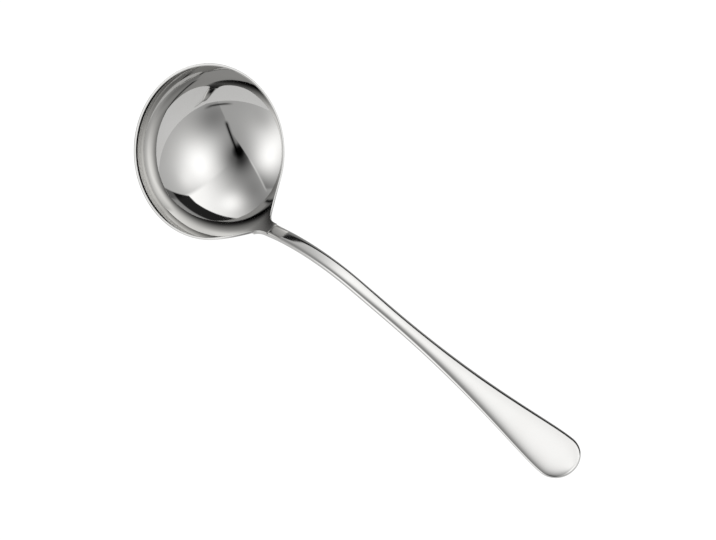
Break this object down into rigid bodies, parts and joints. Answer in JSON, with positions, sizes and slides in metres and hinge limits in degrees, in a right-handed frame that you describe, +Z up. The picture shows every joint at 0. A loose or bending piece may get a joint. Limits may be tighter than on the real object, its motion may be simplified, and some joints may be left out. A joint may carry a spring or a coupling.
{
  "type": "soup ladle",
  "caption": "Table soup ladle in polished stainless steel: round drawn bowl whose rim sweeps up into a slim curved handle that spreads to a rounded end.",
  "frame": {"origin": "on the surface that the ladle rests on, below the middle of its bounding box", "axes": "+Z up, +X from the bowl towards the tip of the handle, Y across; the X-Z plane is the ladle's mirror plane"},
  "size_m": [0.283, 0.092, 0.0673],
  "materials": {
    "polished_bowl": "mirror polished",
    "ground_weld": "ground flush and polished",
    "polished_handle": "mirror polished, slightly softer than the bowl"
  },
  "bodies": {
    "root": {"bowl": "polished_bowl", "neck_weld": "ground_weld", "handle": "polished_handle"}
  },
  "joints": []
}
